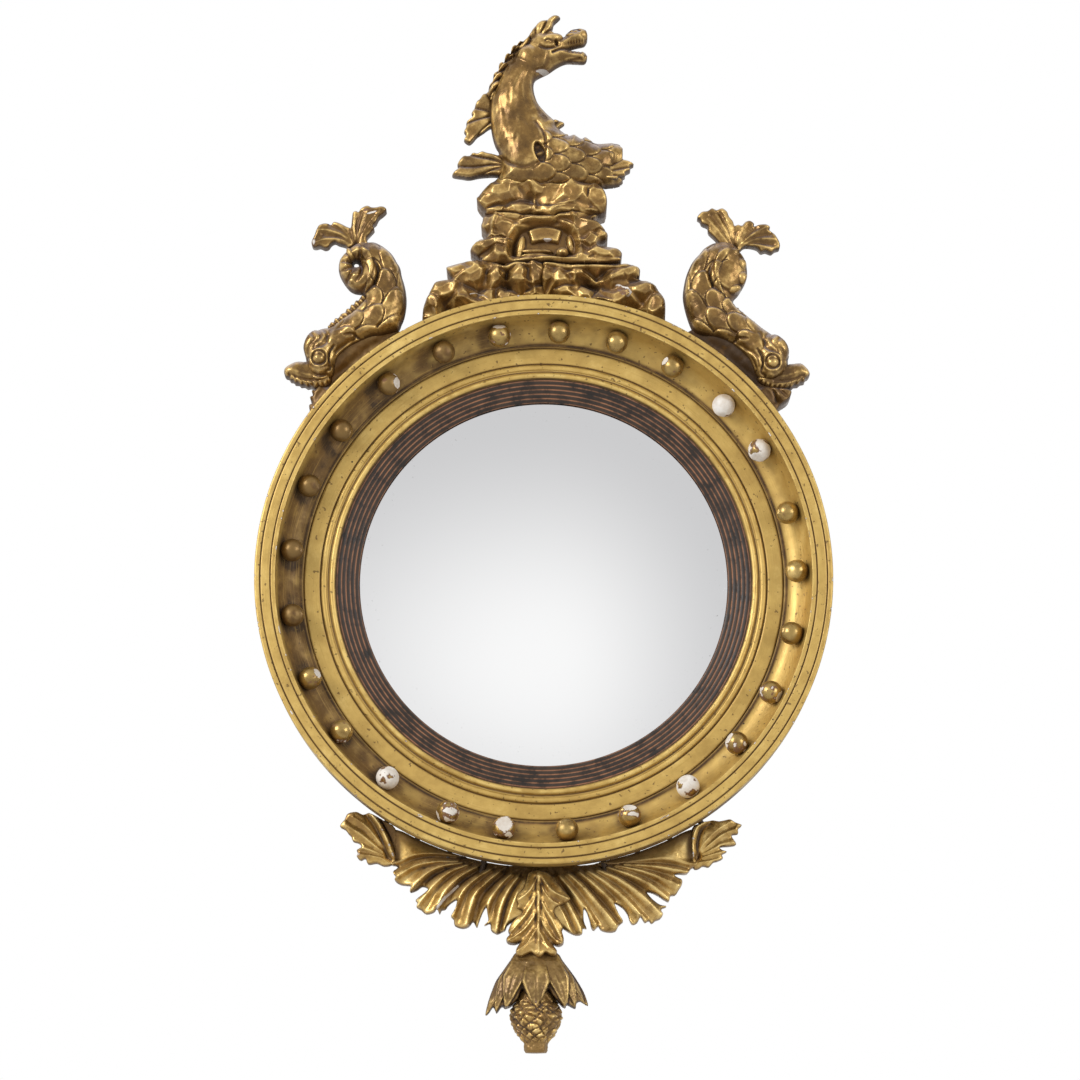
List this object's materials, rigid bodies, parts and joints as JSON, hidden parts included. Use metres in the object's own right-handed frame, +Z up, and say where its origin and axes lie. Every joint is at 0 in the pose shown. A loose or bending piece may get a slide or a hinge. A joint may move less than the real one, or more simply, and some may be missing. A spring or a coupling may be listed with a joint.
{
  "type": "girandole mirror",
  "caption": "Round convex wall mirror in a turned gilt frame set with balls, crowned by a carved seahorse on rocks, with dolphins on the shoulders and a leaf and pine-cone apron.",
  "frame": {"origin": "the point of the wall behind the centre of the round frame, on the frame's axis", "axes": "+Z up, +Y into the wall, so the mirror faces -Y, +X to the right seen from the front"},
  "size_m": [0.608, 0.08, 1.118],
  "materials": {
    "ring_gilding": "water gilding over bole and gesso on turned pine, rubbed, with scratches and worm holes",
    "ball_gilding": "gilded gesso balls, many chipped to the white gesso",
    "rock_gilding": "burnished gilding on carved pine, dark in the hollows",
    "figure_gilding": "burnished gilding on carved pine, toned brown in the recesses",
    "leaf_gilding": "worn gilding on carved pine, chipped to gesso and bole at the tips",
    "ebonised_wood": "black stained and polished, rubbed to copper brown between the reeds",
    "mirror_plate": "silvered convex glass, slightly foxed",
    "board_pine": "old dry planed pine",
    "batten_pine": "old dry pine",
    "brass_fittings": "tarnished brass",
    "iron_screws": "dull dark iron",
    "peg_wood": "dark bare wood"
  },
  "bodies": {
    "frame": {"apron_batten": "batten_pine", "apron_centre_leaf": "leaf_gilding", "apron_screws": "iron_screws", "apron_spray_left": "leaf_gilding", "apron_spray_right": "leaf_gilding", "apron_tip_left": "leaf_gilding", "apron_tip_right": "leaf_gilding", "back_rim": "ring_gilding", "backboard_left": "board_pine", "backboard_middle": "board_pine", "backboard_right": "board_pine", "backboard_screws": "iron_screws", "bead_balls": "ball_gilding", "calyx": "leaf_gilding", "carving_dowels": "peg_wood", "convex_mirror_plate": "mirror_plate", "crest_batten": "batten_pine", "crest_dowels": "batten_pine", "crest_screws": "iron_screws", "dolphin_back_fin_left": "figure_gilding", "dolphin_back_fin_right": "figure_gilding", "dolphin_body_left": "figure_gilding", "dolphin_body_right": "figure_gilding", "dolphin_lip_left": "figure_gilding", "dolphin_lip_right": "figure_gilding", "dolphin_seat_left": "figure_gilding", "dolphin_seat_right": "figure_gilding", "dolphin_tail_left": "figure_gilding", "dolphin_tail_right": "figure_gilding", "ebonised_slip": "ebonised_wood", "front_ring": "ring_gilding", "hanger_screws": "iron_screws", "hanger_strap_left": "brass_fittings", "hanger_strap_right": "brass_fittings", "ledge_ring": "ring_gilding", "pine_cone": "leaf_gilding", "plate_wedges": "batten_pine", "rock_base_left": "rock_gilding", "rock_base_right": "rock_gilding", "rock_cap": "rock_gilding", "rock_cave": "rock_gilding", "seahorse_body": "figure_gilding", "seahorse_breast_fin": "figure_gilding", "seahorse_flipper": "figure_gilding", "seahorse_forelock": "figure_gilding", "seahorse_head": "figure_gilding", "seahorse_mane": "figure_gilding", "seahorse_neck": "figure_gilding", "seahorse_tail_fin": "figure_gilding", "seahorse_web_fin": "figure_gilding"},
    "hanger_ring_left": {"hanger_ring_left": "brass_fittings"},
    "hanger_ring_right": {"hanger_ring_right": "brass_fittings"}
  },
  "joints": [
    {"name": "left_ring_swing", "type": "hinge", "parent": "frame", "child": "hanger_ring_left", "pos_m": [-0.11, -0.006, 0.172], "axis": [1, 0, 0], "range_deg": [-5, 170]},
    {"name": "right_ring_swing", "type": "hinge", "parent": "frame", "child": "hanger_ring_right", "pos_m": [0.11, -0.006, 0.172], "axis": [1, 0, 0], "range_deg": [-5, 170]}
  ]
}
